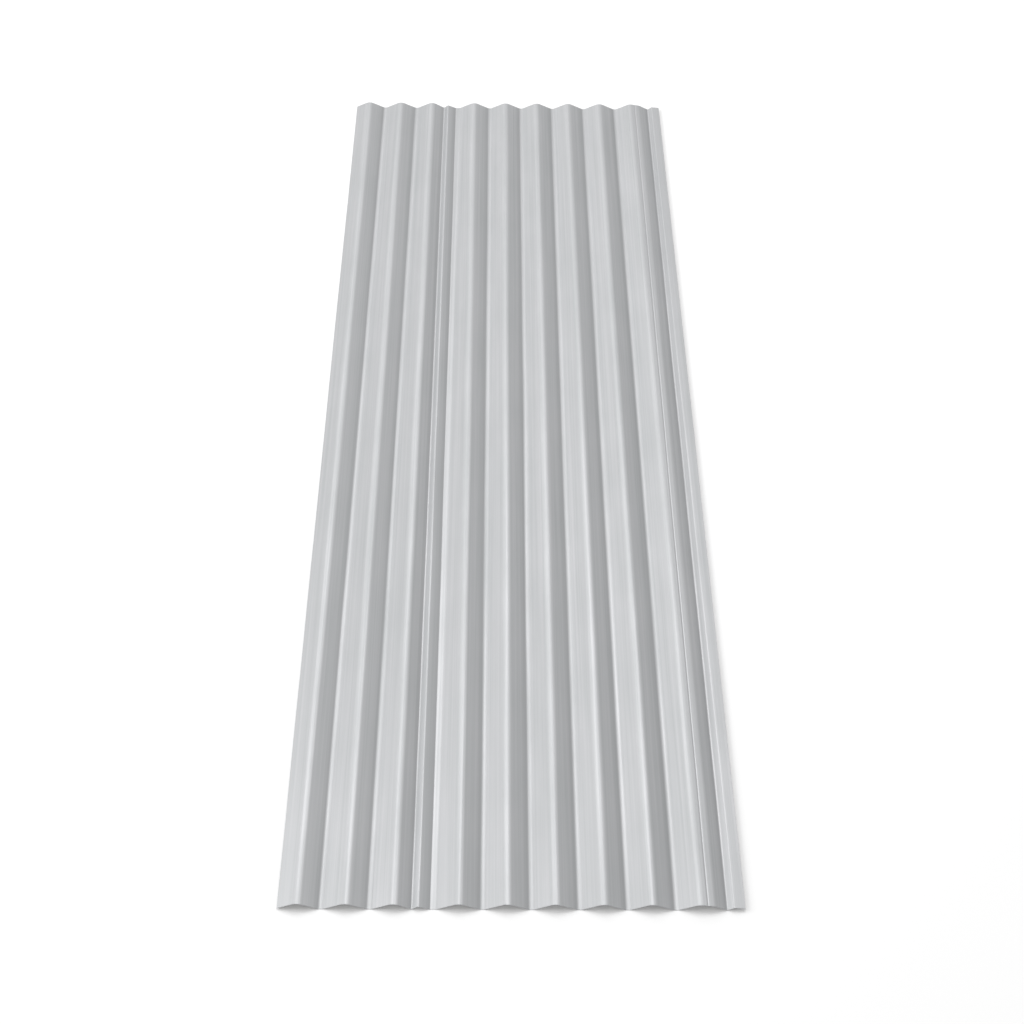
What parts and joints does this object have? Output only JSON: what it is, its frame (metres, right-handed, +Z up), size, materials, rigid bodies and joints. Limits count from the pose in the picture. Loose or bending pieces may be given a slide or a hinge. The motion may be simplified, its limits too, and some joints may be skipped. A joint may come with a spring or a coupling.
{
  "type": "corrugated metal sheet",
  "caption": "Thin corrugated metal sheet lying flat, with rounded waves along its length, a narrow pleat and a stepped lap margin, for roofing and cladding.",
  "frame": {"origin": "middle of the sheet on the floor it lies on", "axes": "+Y along the waves, +X across them towards the lap margin with the drip groove, +Z up"},
  "size_m": [0.654, 2, 0.0132],
  "materials": {
    "sheet_finish": "satin pale grey coating"
  },
  "bodies": {
    "root": {"corrugated_sheet": "sheet_finish"}
  },
  "joints": []
}
